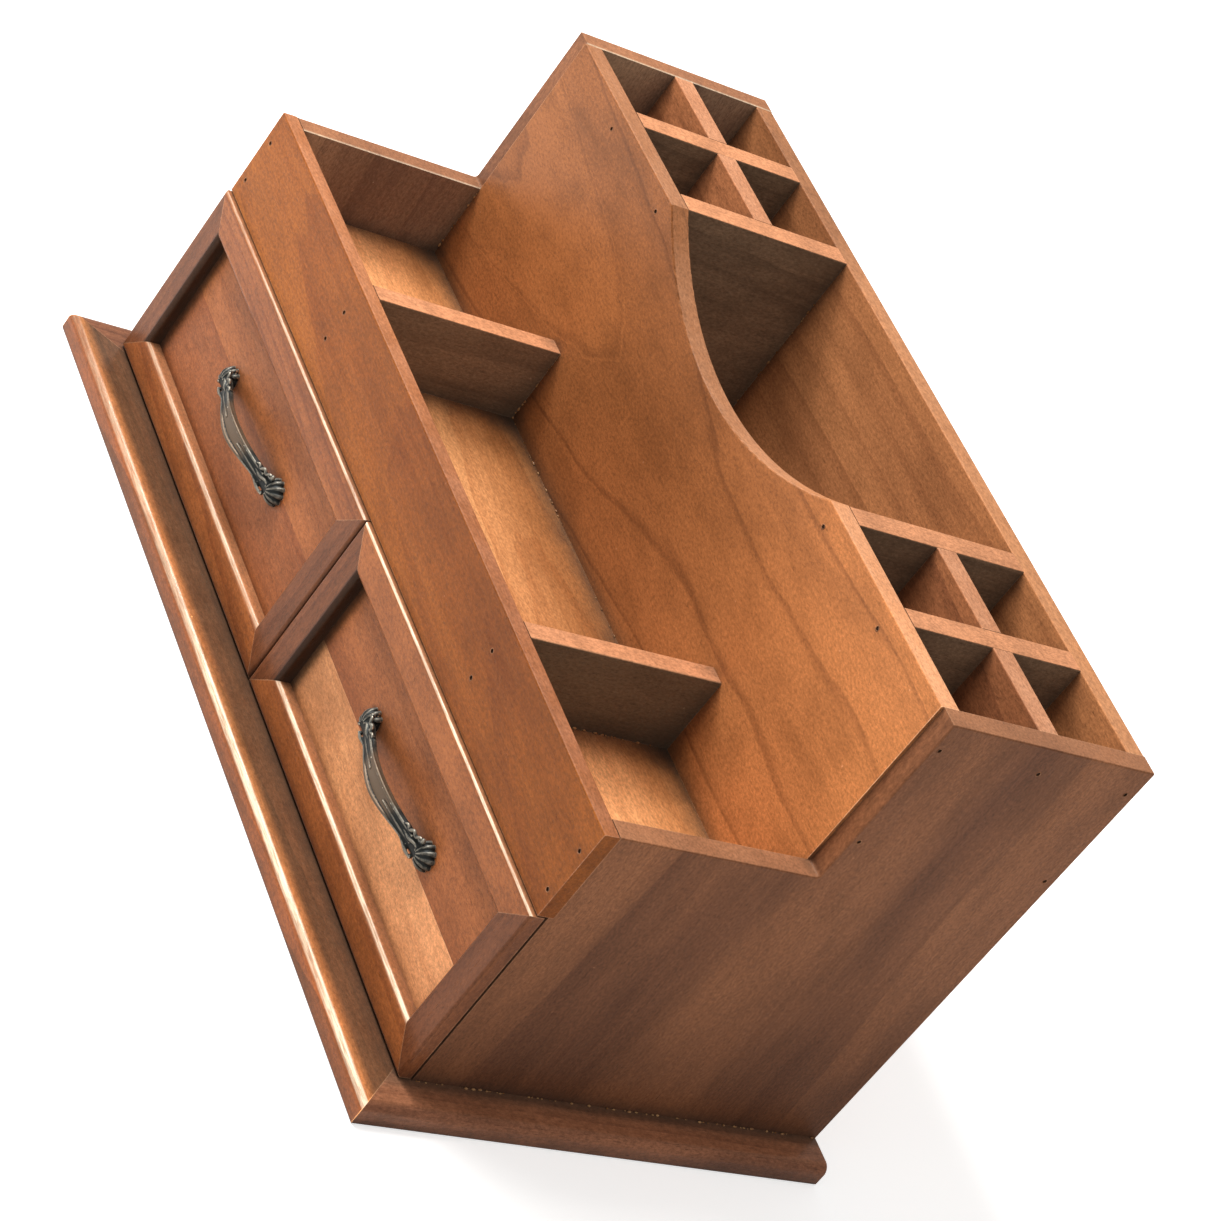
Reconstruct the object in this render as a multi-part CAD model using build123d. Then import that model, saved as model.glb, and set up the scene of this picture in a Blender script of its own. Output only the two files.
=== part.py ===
from build123d import *
import math
import os

# A wooden desk organiser: a plinth, a carcass with a low tray in front of a tall
# partitioned box, and two drawers. Millimetres, +Z up, front towards -Y.
# The origin is under the middle of the whole footprint, on the desk.

# Overall sizes of the carcass
carcass_width = 400.0
carcass_depth = 203.0
total_height = 224.5
tray_height = 143.0
step_depth = 100.0
step_corner_round = 1.6

# Board thicknesses
side_thickness = 9.0
back_thickness = 9.0
panel_thickness = 9.2
fascia_thickness = 7.2
side_front_setback = 5.0
floor_thickness = 5.0
tray_divider_thickness = 9.0
wall_thickness = 10.5
strip_thickness = 10.2
partition_thickness = 9.0

# Plinth
base_thickness = 10.0
base_side_overhang = 15.5
base_front_overhang = 21.5
base_strip_width = 34.0
base_upper_round = 4.0
base_lower_round = 0.8

# Tray and rear box
fascia_bottom_height = 100.4
floor_top_height = 106.4
panel_proud = 1.4
left_tray_divider_x = -89.1
right_tray_divider_x = 98.4
wall_centre_x = 91.2
cell_strip_x = 144.2
cell_strip_depth = 152.7
scoop_depth = 25.5

# Drawers
drawer_gap = 0.7
drawer_rest_opening = 1.2
frame_width = 15.2
frame_thickness = 6.0
frame_outer_round = 1.5
frame_bevel_width = 2.0
frame_bevel_depth = 3.0
front_board_thickness = 8.0
front_board_upper_gap = 1.2
front_seam_height = 51.0
box_side_gap = 0.6
box_lower_gap = 0.5
box_side_thickness = 7.0
box_side_height = 76.0
box_rear_gap = 8.0
bottom_thickness = 3.0
bottom_groove_height = 5.0
bottom_groove_depth = 3.0
groove_end_gap = 0.3

# Cast pulls
pull_spacing = 64.0
pull_rise = 10.2
pull_end_rise = 3.2
pull_fullness = 0.7
pull_bar_thickness = 3.8
pull_middle_width = 11.4
pull_neck_width = 7.2
pull_neck_x = 22.0
pull_shell_radius = 6.2
pull_shell_offset = 1.8
pull_flute_radius = 0.6
pull_flute_count = 5
pull_flute_spread = 32.0
pull_hub_angle = 50.0
left_pull_shift = (5.0, 1.5)
right_pull_shift = (1.0, 3.6)
arch_stations = 9

# Screws that hold the pulls
screw_radius = 2.0
screw_thread_depth = 3.6
screw_thread_clearance = 0.02
screw_end_gap = 0.3
screw_hole_clearance = 0.15
screw_head_radius = 4.2
screw_head_height = 2.2
screw_head_round = 1.2
screw_slot_width = 1.0
screw_slot_depth = 1.0

# Brads, their sunk holes and where they go
brad_radius = 0.6
brad_head_radius = 0.85
brad_head_height = 0.7
brad_length = 20.0
brad_sink = 0.8
brad_clearance = 0.02
fascia_brad_drop = 13.4
fascia_brad_rise = 9.0
panel_brad_drop = 8.5
side_brad_drop = 12.5
side_brad_lower_height = 163.5

# Eased corners of the boards
board_ease = 0.7
thin_ease = 0.5

# Places worked out from the sizes above
half_width = carcass_width / 2
front_y = (base_front_overhang - carcass_depth) / 2
back_y = front_y + carcass_depth
side_inner_x = half_width - side_thickness
side_centre_x = half_width - side_thickness / 2
fascia_back_y = front_y + fascia_thickness
side_front_y = front_y + side_front_setback
step_y = front_y + step_depth
panel_front_y = step_y - panel_proud
panel_middle_y = panel_front_y + panel_thickness / 2
panel_back_y = panel_front_y + panel_thickness
back_inner_y = back_y - back_thickness
back_middle_y = back_y - back_thickness / 2
strip_centre_y = front_y + cell_strip_depth
floor_bottom_height = floor_top_height - floor_thickness
wall_inner_x = wall_centre_x - wall_thickness / 2
wall_outer_x = wall_centre_x + wall_thickness / 2
signs = {"left": -1, "right": 1}


def block(x_range, y_range, z_range):
    """A box between two positions along each axis."""
    size = [abs(high - low) for low, high in (x_range, y_range, z_range)]
    middle = [(high + low) / 2 for low, high in (x_range, y_range, z_range)]
    return Pos(*middle) * Box(*size)


def cross(a, b):
    """The vector product of two directions."""
    return (a[1] * b[2] - a[2] * b[1], a[2] * b[0] - a[0] * b[2], a[0] * b[1] - a[1] * b[0])


def about(middle, thickness):
    """The two faces of a board, from its middle and its thickness."""
    return (middle - thickness / 2, middle + thickness / 2)


def ease_top(board, axis, radius):
    """Round the topmost edges of a board that run along one axis."""
    return fillet(board.edges().filter_by(axis).group_by(Axis.Z)[-1], radius)


def quarter_point(centre, across, up):
    """The point halfway round a quarter of an ellipse."""
    half = math.sqrt(0.5)
    return (centre[0] + across * half, centre[1] + up * half)


def run_moulding(section, start, inward, outward, length):
    """A length of moulding: the section's x points inward and its y points outward."""
    plane = Plane(origin=start, x_dir=inward, z_dir=cross(inward, outward))
    return extrude(plane * section, length)


# Brads

def brad(direction):
    """A brad driven along a direction, with the top of its head at the origin."""
    plane = Plane((0, 0, 0), z_dir=direction)
    head = extrude(plane * Circle(brad_head_radius), brad_head_height)
    return head + extrude(plane * Circle(brad_radius), brad_length)


def brad_hole(direction):
    """The space that a sunk brad takes, open above its head."""
    mouth_plane = Plane(tuple(-2 * brad_sink * part for part in direction), z_dir=direction)
    shank_plane = Plane((0, 0, 0), z_dir=direction)
    mouth_depth = 2 * brad_sink + brad_head_height + brad_clearance
    mouth = extrude(mouth_plane * Circle(brad_head_radius + brad_clearance), mouth_depth)
    shank = extrude(shank_plane * Circle(brad_radius + brad_clearance), brad_length + brad_clearance)
    return mouth + shank


def drive(points, direction):
    """Sunk brads at a list of surface points, and their holes."""
    sunk = [tuple(p + brad_sink * part for p, part in zip(point, direction)) for point in points]
    brads = [Pos(*point) * brad(direction) for point in sunk]
    holes = [Pos(*point) * brad_hole(direction) for point in sunk]
    return Compound(children=brads), holes


def drill(board, *hole_lists):
    """A board with every brad hole that reaches it cut out."""
    for holes in hole_lists:
        for hole in holes:
            board = board - hole
    return board


fascia_brad_height = tray_height - fascia_brad_drop
side_fascia_points = [
    (sign * side_centre_x, front_y, height)
    for sign in signs.values()
    for height in (fascia_brad_height, fascia_bottom_height + fascia_brad_rise)
]
divider_fascia_points = [
    (x, front_y, height)
    for x in (left_tray_divider_x, right_tray_divider_x)
    for height in (fascia_brad_height, floor_top_height + fascia_brad_rise)
]
panel_points = [
    (sign * x, panel_front_y, total_height - panel_brad_drop)
    for sign in signs.values()
    for x in (wall_centre_x, cell_strip_x)
]
side_brad_height = total_height - side_brad_drop
side_places = [
    (panel_middle_y, side_brad_height),
    (strip_centre_y, side_brad_height),
    (back_middle_y, side_brad_height),
    (panel_middle_y, side_brad_lower_height),
    (back_middle_y, side_brad_lower_height),
]

parts = {}
parts["fascia_brads"], fascia_holes = drive(side_fascia_points + divider_fascia_points, (0, 1, 0))
parts["scooped_panel_brads"], panel_holes = drive(panel_points, (0, 1, 0))
side_holes = {}
for side, sign in signs.items():
    points = [(sign * half_width, y, height) for y, height in side_places]
    parts[side + "_side_brads"], side_holes[side] = drive(points, (-sign, 0, 0))
all_side_holes = side_holes["left"] + side_holes["right"]


# Plinth: a bottom board inside three mitred strips

plinth_half = half_width + base_side_overhang
plinth_front = front_y - base_front_overhang
plinth_inner_half = plinth_half - base_strip_width
plinth_inner_front = plinth_front + base_strip_width


def base_strip_section():
    """Flat top and bottom, with the outer corners rounded."""
    upper_centre = (base_upper_round, base_thickness - base_upper_round)
    lower_centre = (base_lower_round, base_lower_round)
    upper_middle = quarter_point(upper_centre, -base_upper_round, base_upper_round)
    lower_middle = quarter_point(lower_centre, -base_lower_round, -base_lower_round)
    shoulder = base_thickness - base_upper_round
    outline = [
        ThreePointArc((base_lower_round, 0), lower_middle, (0, base_lower_round)),
        Line((0, base_lower_round), (0, shoulder)),
        ThreePointArc((0, shoulder), upper_middle, (base_upper_round, base_thickness)),
        Line((base_upper_round, base_thickness), (base_strip_width, base_thickness)),
        Line((base_strip_width, base_thickness), (base_strip_width, 0)),
        Line((base_strip_width, 0), (base_lower_round, 0)),
    ]
    return make_face(outline)


def base_prism(corners):
    """A tall prism over a plan outline, which cuts a strip's mitres."""
    return extrude(make_face(Polyline(*corners, close=True)), base_thickness)


section = base_strip_section()
front_start = (-plinth_half, plinth_front, 0)
front_strip = run_moulding(section, front_start, (0, 1, 0), (0, 0, 1), 2 * plinth_half)
front_plan = base_prism([
    (-plinth_half, plinth_front),
    (plinth_half, plinth_front),
    (plinth_inner_half, plinth_inner_front),
    (-plinth_inner_half, plinth_inner_front),
])
parts["base_front_strip"] = front_strip & front_plan
side_run = back_y - plinth_front
side_starts = {"left": (-plinth_half, back_y, 0), "right": (plinth_half, plinth_front, 0)}
for side, sign in signs.items():
    strip = run_moulding(section, side_starts[side], (-sign, 0, 0), (0, 0, 1), side_run)
    plan = base_prism([
        (sign * plinth_half, plinth_front),
        (sign * plinth_half, back_y),
        (sign * plinth_inner_half, back_y),
        (sign * plinth_inner_half, plinth_inner_front),
    ])
    parts["base_" + side + "_strip"] = strip & plan
parts["base_board"] = block(
    (-plinth_inner_half, plinth_inner_half), (plinth_inner_front, back_y), (0, base_thickness))


# Carcass boards

def side_panel(side):
    """An L-shaped side: low beside the tray, tall beside the rear box, rebated for the fascia."""
    sign = signs[side]
    outline = Polyline(
        (side_front_y, base_thickness),
        (back_y, base_thickness),
        (back_y, total_height),
        (step_y, total_height),
        (step_y, tray_height),
        (fascia_back_y, tray_height),
        (fascia_back_y, fascia_bottom_height),
        (side_front_y, fascia_bottom_height),
        close=True,
    )
    x_low = min(sign * side_inner_x, sign * half_width)
    board = extrude(Plane.YZ.offset(x_low) * make_face(outline), side_thickness)
    corner = board.edges().filter_by(Axis.X).sort_by_distance((0, step_y, tray_height))[0]
    board = fillet(corner, step_corner_round)
    outer_face = board.faces().sort_by(Axis.X)[-1 if sign > 0 else 0]
    eased = [
        edge for edge in outer_face.edges()
        if edge.center().Z > tray_height - board_ease and edge.center().Y < back_y - board_ease
    ]
    return drill(fillet(eased, board_ease), fascia_holes, side_holes[side])


def fascia_board():
    """The board across the front of the tray, over the drawers."""
    rise = (fascia_bottom_height, tray_height)
    board = block((-half_width, half_width), (front_y, fascia_back_y), rise)
    return drill(ease_top(board, Axis.X, board_ease), fascia_holes)


def scooped_panel():
    """The tall box's front, with a round scoop over the middle compartment."""
    rise = (floor_top_height, total_height)
    board = block((-side_inner_x, side_inner_x), (panel_front_y, panel_back_y), rise)
    radius = (wall_inner_x ** 2 + scoop_depth ** 2) / (2 * scoop_depth)
    centre_height = total_height - scoop_depth + radius
    centre = Pos(0, panel_middle_y, centre_height)
    cutter = centre * Rot(90, 0, 0) * Cylinder(radius, 2 * panel_thickness)
    board = board - cutter
    scoop_edges = board.edges().filter_by(GeomType.CIRCLE)
    top_edges = board.edges().filter_by(Axis.X).group_by(Axis.Z)[-1]
    return drill(fillet(scoop_edges + top_edges, board_ease), panel_holes, all_side_holes)


for side in signs:
    parts[side + "_side_panel"] = side_panel(side)
parts["fascia_board"] = fascia_board()
parts["scooped_panel"] = scooped_panel()
inside_width = (-side_inner_x, side_inner_x)
back_board = block(inside_width, (back_inner_y, back_y), (base_thickness, total_height))
parts["back_panel"] = drill(ease_top(back_board, Axis.X, board_ease), all_side_holes)
parts["tray_floor"] = block(
    inside_width, (fascia_back_y, back_inner_y), (floor_bottom_height, floor_top_height))
parts["drawer_partition"] = block(
    about(0, partition_thickness), (fascia_back_y, back_inner_y), (base_thickness, floor_bottom_height))

for side, x in (("left", left_tray_divider_x), ("right", right_tray_divider_x)):
    run = (fascia_back_y, panel_front_y)
    board = block(about(x, tray_divider_thickness), run, (floor_top_height, tray_height))
    parts[side + "_tray_divider"] = drill(ease_top(board, Axis.Y, thin_ease), fascia_holes)


# Rear box: two full walls and a halved cross of strips each side

box_rise = (floor_top_height, total_height)
halving_height = (floor_top_height + total_height) / 2
for side, sign in signs.items():
    run = (panel_back_y, back_inner_y)
    wall = block(about(sign * wall_centre_x, wall_thickness), run, box_rise)
    parts[side + "_compartment_wall"] = drill(ease_top(wall, Axis.Y, thin_ease), panel_holes)
    across_x = about(sign * cell_strip_x, strip_thickness)
    across_y = about(strip_centre_y, strip_thickness)
    deep_strip = ease_top(block(across_x, run, box_rise), Axis.Y, thin_ease)
    deep_strip = deep_strip - block(across_x, across_y, (floor_top_height, halving_height))
    parts[side + "_deep_strip"] = drill(deep_strip, panel_holes)
    long_x = sorted((sign * wall_outer_x, sign * side_inner_x))
    wide_strip = ease_top(block(long_x, across_y, box_rise), Axis.X, thin_ease)
    wide_strip = wide_strip - block(across_x, across_y, (halving_height, total_height))
    parts[side + "_wide_strip"] = drill(wide_strip, side_holes[side])


# Drawers

frame_back_y = side_front_y - drawer_rest_opening
board_back_y = frame_back_y + front_board_thickness
frame_low = base_thickness + drawer_gap
frame_high = fascia_bottom_height - drawer_gap
box_low = base_thickness + box_lower_gap
box_high = box_low + box_side_height
box_back_y = back_inner_y - box_rear_gap
bottom_low = box_low + bottom_groove_height
bottom_high = bottom_low + bottom_thickness
pull_height = (frame_low + frame_high) / 2
pull_shifts = {"left": left_pull_shift, "right": right_pull_shift}


def frame_section():
    """A drawer frame's section: rounded outside, a convex bevel inside."""
    shoulder = frame_thickness - frame_bevel_depth
    land = frame_width - frame_bevel_width
    round_start = frame_thickness - frame_outer_round
    outer_centre = (frame_outer_round, round_start)
    outer_middle = quarter_point(outer_centre, -frame_outer_round, frame_outer_round)
    inner_middle = quarter_point((land, shoulder), frame_bevel_width, frame_bevel_depth)
    outline = [
        Line((0, 0), (frame_width, 0)),
        Line((frame_width, 0), (frame_width, shoulder)),
        ThreePointArc((frame_width, shoulder), inner_middle, (land, frame_thickness)),
        Line((land, frame_thickness), (frame_outer_round, frame_thickness)),
        ThreePointArc((frame_outer_round, frame_thickness), outer_middle, (0, round_start)),
        Line((0, round_start), (0, 0)),
    ]
    return make_face(outline)


def drawer_frame(x_low, x_high):
    """Four mitred lengths round a drawer's front: name to solid."""
    corners = [(x_low, frame_low), (x_high, frame_low), (x_high, frame_high), (x_low, frame_high)]
    inner = [
        (x_low + frame_width, frame_low + frame_width),
        (x_high - frame_width, frame_low + frame_width),
        (x_high - frame_width, frame_high - frame_width),
        (x_low + frame_width, frame_high - frame_width),
    ]
    lengths = {
        "bottom_rail": (0, (0, 0, 1), x_high - x_low),
        "right_stile": (1, (-1, 0, 0), frame_high - frame_low),
        "top_rail": (2, (0, 0, -1), x_high - x_low),
        "left_stile": (3, (1, 0, 0), frame_high - frame_low),
    }
    frame = {}
    for name, (first, inward, length) in lengths.items():
        second = (first + 1) % 4
        start = (corners[first][0], frame_back_y, corners[first][1])
        solid = run_moulding(frame_section(), start, inward, (0, -1, 0), length)
        mitred = Polyline(corners[first], corners[second], inner[second], inner[first], close=True)
        prism = extrude(Plane.XZ.offset(-frame_back_y) * make_face(mitred), frame_thickness)
        frame[name] = solid & prism
    return frame


def arch_rise(x):
    """Height of the pull's bar over the drawer's face, at a distance from its middle."""
    share = (1 + math.cos(2 * math.pi * x / pull_spacing)) / 2
    return pull_end_rise + (pull_rise - pull_end_rise) * share ** pull_fullness


def bar_half_width(x):
    """Half the pull's width: broad in the middle, narrow at the necks."""
    share = (1 + math.cos(math.pi * x / pull_neck_x)) / 2
    return (pull_neck_width + (pull_middle_width - pull_neck_width) * share) / 2


def fluted_shell(sign):
    """One end of the pull: a dome with flutes that fan out from a hub."""
    centre = (sign * (pull_spacing / 2 + pull_shell_offset), 0, 0)
    dome = Pos(*centre) * Sphere(pull_shell_radius)
    tilt = math.radians(pull_hub_angle)
    hub = (-sign * math.cos(tilt), -math.sin(tilt), 0)
    side_way = cross(hub, (0, 0, 1))
    for number in range(pull_flute_count):
        angle = math.radians((number - (pull_flute_count - 1) / 2) * pull_flute_spread)
        up, out = math.cos(angle), math.sin(angle)
        normal = (out * side_way[0], out * side_way[1], up + out * side_way[2])
        dome = dome - Plane(centre, z_dir=normal) * Torus(pull_shell_radius, pull_flute_radius)
    return dome


def closed_pair(first, second):
    """A face between two smooth curves through lists of points, closed by lines at the ends."""
    ends = [Line(first[-1], second[-1]), Line(second[0], first[0])]
    return make_face([Spline(*first), ends[0], Spline(*second), ends[1]])


def pull():
    """A cast arch pull on the plane y = 0, standing out towards -Y."""
    half = pull_spacing / 2
    stations = [half * (2 * number / (arch_stations - 1) - 1) for number in range(arch_stations)]
    outer = [(x, -arch_rise(x) - pull_bar_thickness / 2) for x in stations]
    inner = [(x, -arch_rise(x) + pull_bar_thickness / 2) for x in stations]
    side_view = closed_pair(outer, inner)
    upper = [(x, bar_half_width(x)) for x in stations]
    lower = [(x, -bar_half_width(x)) for x in stations]
    front_view = closed_pair(upper, lower)
    deep = pull_rise + pull_bar_thickness
    bar = extrude(side_view, pull_middle_width, both=True) & extrude(Plane.XZ * front_view, deep)
    casting = bar + fluted_shell(-1) + fluted_shell(1)
    reach = pull_spacing
    casting = casting & block((-reach, reach), (-2 * deep, 0), (-reach, reach))
    hole_radius = screw_radius + screw_thread_clearance
    for sign in signs.values():
        tap_plane = Plane((sign * half, 0, 0), z_dir=(0, -1, 0))
        casting = casting - extrude(tap_plane * Circle(hole_radius), screw_thread_depth + screw_end_gap)
    return casting


def pull_screw():
    """A slotted pan-head screw: its head's seat is the origin and it points to -Y."""
    shank_plane = Plane((0, 0, 0), z_dir=(0, -1, 0))
    shank = extrude(shank_plane * Circle(screw_radius), front_board_thickness + screw_thread_depth)
    head_plane = Plane((0, 0, 0), z_dir=(0, 1, 0))
    head = extrude(head_plane * Circle(screw_head_radius), screw_head_height)
    head = fillet(head.edges().sort_by(Axis.Y)[-1], screw_head_round)
    slot = block(
        (-screw_head_radius, screw_head_radius),
        (screw_head_height - screw_slot_depth, 2 * screw_head_height),
        about(0, screw_slot_width),
    )
    return (head - slot) + shank


def front_boards(side, x_range):
    """The drawer's front: one board on the left, two glued strips on the right."""
    high = floor_bottom_height - front_board_upper_gap
    levels = {"front_board": (box_low, high)}
    if side == "right":
        levels = {
            "lower_front_strip": (box_low, front_seam_height),
            "upper_front_strip": (front_seam_height, high),
        }
    run = (frame_back_y, board_back_y)
    return {name: block(x_range, run, level) for name, level in levels.items()}


for side, sign in signs.items():
    name = side + "_drawer_"
    x_low, x_high = sorted((sign * drawer_gap / 2, sign * half_width))
    for piece, solid in drawer_frame(x_low, x_high).items():
        parts[name + piece] = solid

    near_x = partition_thickness / 2 + box_side_gap
    box_x = sorted((sign * near_x, sign * (side_inner_x - box_side_gap)))
    inside_x = (box_x[0] + box_side_thickness, box_x[1] - box_side_thickness)
    bottom_x = (inside_x[0] - bottom_groove_depth, inside_x[1] + bottom_groove_depth)
    groove = block(
        (bottom_x[0] - groove_end_gap, bottom_x[1] + groove_end_gap),
        (board_back_y - bottom_groove_depth - groove_end_gap, box_back_y),
        (bottom_low, bottom_high),
    )
    pull_x = (x_low + x_high) / 2 + pull_shifts[side][0]
    pull_z = pull_height + pull_shifts[side][1]
    screw_places = [(pull_x + end * pull_spacing / 2, board_back_y, pull_z) for end in signs.values()]
    hole = Circle(screw_radius + screw_hole_clearance)
    screw_holes = [
        extrude(Plane(place, z_dir=(0, -1, 0)) * hole, front_board_thickness) for place in screw_places
    ]
    for piece, solid in front_boards(side, box_x).items():
        parts[name + piece] = drill(solid - groove, screw_holes)

    side_run = (board_back_y, box_back_y)
    box_z = (box_low, box_high)
    parts[name + "box_left"] = block((box_x[0], inside_x[0]), side_run, box_z) - groove
    parts[name + "box_right"] = block((inside_x[1], box_x[1]), side_run, box_z) - groove
    parts[name + "box_back"] = block(
        inside_x, (box_back_y - box_side_thickness, box_back_y), (bottom_high, box_high))
    parts[name + "bottom"] = block(
        bottom_x, (board_back_y - bottom_groove_depth, box_back_y), (bottom_low, bottom_high))
    parts[name + "pull"] = Pos(pull_x, frame_back_y, pull_z) * pull()
    screws = [Pos(*place) * pull_screw() for place in screw_places]
    parts[name + "pull_screws"] = Compound(children=screws)


os.makedirs("parts", exist_ok=True)
for name, solid in parts.items():
    export_step(solid, "parts/" + name + ".step")
print(len(parts), "nodes written")
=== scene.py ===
import bmesh
import bpy
import math
import random
from mathutils import Matrix, Vector, noise


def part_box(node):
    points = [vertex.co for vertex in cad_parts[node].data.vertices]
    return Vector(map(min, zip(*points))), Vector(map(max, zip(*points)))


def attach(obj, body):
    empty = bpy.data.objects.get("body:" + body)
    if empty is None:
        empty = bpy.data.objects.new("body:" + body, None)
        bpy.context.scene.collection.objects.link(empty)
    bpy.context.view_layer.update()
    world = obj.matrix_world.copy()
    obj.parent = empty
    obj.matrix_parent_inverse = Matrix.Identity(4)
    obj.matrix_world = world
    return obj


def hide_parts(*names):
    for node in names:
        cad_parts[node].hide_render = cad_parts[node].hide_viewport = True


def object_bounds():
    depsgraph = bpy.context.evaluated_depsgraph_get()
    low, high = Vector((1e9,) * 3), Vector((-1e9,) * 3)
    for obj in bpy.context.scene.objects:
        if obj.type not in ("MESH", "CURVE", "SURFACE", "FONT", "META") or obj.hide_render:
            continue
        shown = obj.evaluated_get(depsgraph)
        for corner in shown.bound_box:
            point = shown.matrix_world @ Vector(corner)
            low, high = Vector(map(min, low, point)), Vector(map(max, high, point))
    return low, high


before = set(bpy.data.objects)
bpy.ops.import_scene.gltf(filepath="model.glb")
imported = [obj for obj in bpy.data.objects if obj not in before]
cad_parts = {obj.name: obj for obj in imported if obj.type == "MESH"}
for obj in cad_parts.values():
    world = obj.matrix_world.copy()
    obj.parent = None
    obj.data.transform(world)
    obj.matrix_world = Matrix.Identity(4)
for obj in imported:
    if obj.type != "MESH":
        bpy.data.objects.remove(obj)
cadLow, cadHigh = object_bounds()
scene = bpy.context.scene
scene.view_settings.view_transform = "Standard"
mm = 0.001
print("frame loaded:", len(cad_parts), "parts")


def paint(red, green, blue):
    # display colour from 0 to 255, as the linear colour that a shader wants
    def linear(value):
        value /= 255
        return value / 12.92 if value < 0.04045 else ((value + 0.055) / 1.055) ** 2.4
    return (linear(red), linear(green), linear(blue), 1)


def addNode(tree, kind, inputs=None, **settings):
    node = tree.nodes.new("ShaderNode" + kind)
    for key, value in settings.items():
        setattr(node, key, value)
    for socket, value in (inputs or {}).items():
        if isinstance(value, bpy.types.NodeSocket):
            tree.links.new(value, node.inputs[socket])
        else:
            node.inputs[socket].default_value = value
    return node


def calc(tree, operation, first, second=0.0, clamp=False):
    node = addNode(tree, "Math", {0: first, 1: second}, operation=operation, use_clamp=clamp)
    return node.outputs[0]


def remap(tree, value, low, high, newLow=0.0, newHigh=1.0, smooth=True):
    node = addNode(tree, "MapRange", {"Value": value, "From Min": low, "From Max": high,
                                      "To Min": newLow, "To Max": newHigh})
    node.interpolation_type = "SMOOTHSTEP" if smooth else "LINEAR"
    return node.outputs["Result"]


def mixColour(tree, share, first, second, mode="MIX"):
    node = addNode(tree, "Mix", {0: share, 6: first, 7: second}, data_type="RGBA", blend_type=mode)
    return node.outputs[2]


def stretched(tree, vector, scales, shift=(0, 0, 0)):
    node = addNode(tree, "Mapping", {"Vector": vector, "Scale": scales, "Location": shift})
    return node.outputs["Vector"]


def speckle(tree, vector, scale, detail=2.0, roughness=0.5, distortion=0.0):
    node = addNode(tree, "TexNoise", {"Vector": vector, "Scale": scale, "Detail": detail,
                                      "Roughness": roughness, "Distortion": distortion})
    return node.outputs["Fac"]


def startGroup(name, inputs, outputs):
    # inputs and outputs: socket name -> "Float", "Vector" or "Color"; returns the tree and its two ends
    tree = bpy.data.node_groups.new(name, "ShaderNodeTree")
    for socket, kind in inputs.items():
        tree.interface.new_socket(socket, in_out="INPUT", socket_type="NodeSocket" + kind)
    for socket, kind in outputs.items():
        tree.interface.new_socket(socket, in_out="OUTPUT", socket_type="NodeSocket" + kind)
    return tree, tree.nodes.new("NodeGroupInput").outputs, tree.nodes.new("NodeGroupOutput").inputs


def placeGroup(tree, group, inputs):
    node = tree.nodes.new("ShaderNodeGroup")
    node.node_tree = group
    for socket, value in inputs.items():
        if isinstance(value, bpy.types.NodeSocket):
            tree.links.new(value, node.inputs[socket])
        else:
            node.inputs[socket].default_value = value
    return node.outputs


cameraSetup = {
    "place": (0.95036, -0.8856, 0.80124),
    "aim": (0.01903, 0.02008, 0.10066),
    "lens": 109.857,
    "roll": -38.819,        # degrees; the camera leans to one side
}
lightSetup = {
    # from: direction from the object; distance, wide (along X) and tall in metres; power in watts
    "key": {"from": (-0.24, -0.4, 0.82), "distance": 1.3, "wide": 0.5, "tall": 0.5, "power": 8.5},
    "window": {"from": (-0.64, -0.32, 0.7), "distance": 1.5, "wide": 0.55, "tall": 0.36, "power": 24.0},
    "fill": {"from": (0.72, -0.3, 0.63), "distance": 1.6, "wide": 0.9, "tall": 0.9, "power": 3.0},
}
skyStrength = 0.5
floorSetup = {
    "size": 14.0,
    "colour": (252, 251, 249),
    "patches": (248, 247, 245),
    "glow": 0.45,           # for the camera only, so the floor stays white round the shadow
}

eye = Vector(cameraSetup["place"])
forward = (Vector(cameraSetup["aim"]) - eye).normalized()
level = (Vector((0, 0, 1)) - forward * forward.z).normalized()
aside = forward.cross(level)
roll = math.radians(cameraSetup["roll"])
cameraUp = level * math.cos(roll) + aside * math.sin(roll)
cameraRight = aside * math.cos(roll) - level * math.sin(roll)
camera = bpy.data.objects.new("camera", bpy.data.cameras.new("camera"))
scene.collection.objects.link(camera)
camera.data.lens = cameraSetup["lens"]
camera.data.sensor_width = 36
camera.matrix_world = Matrix((cameraRight, cameraUp, -forward)).transposed().to_4x4()
camera.location = eye
scene.camera = camera

middle = (cadLow + cadHigh) / 2
for lampName, setup in lightSetup.items():
    direction = Vector(setup["from"]).normalized()
    lamp = bpy.data.objects.new(lampName + "Light", bpy.data.lights.new(lampName + "Light", "AREA"))
    scene.collection.objects.link(lamp)
    lamp.data.shape = "RECTANGLE"
    lamp.data.size = setup["wide"]
    lamp.data.size_y = setup["tall"]
    lamp.data.energy = setup["power"]
    lampX = (Vector((1, 0, 0)) - direction * direction.x).normalized()
    lamp.matrix_world = Matrix((lampX, direction.cross(lampX), direction)).transposed().to_4x4()
    lamp.location = middle + direction * setup["distance"]

world = bpy.data.worlds.new("studio")
scene.world = world
world.use_nodes = True
world.node_tree.nodes["Background"].inputs["Color"].default_value = (1, 1, 1, 1)
world.node_tree.nodes["Background"].inputs["Strength"].default_value = skyStrength

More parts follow.
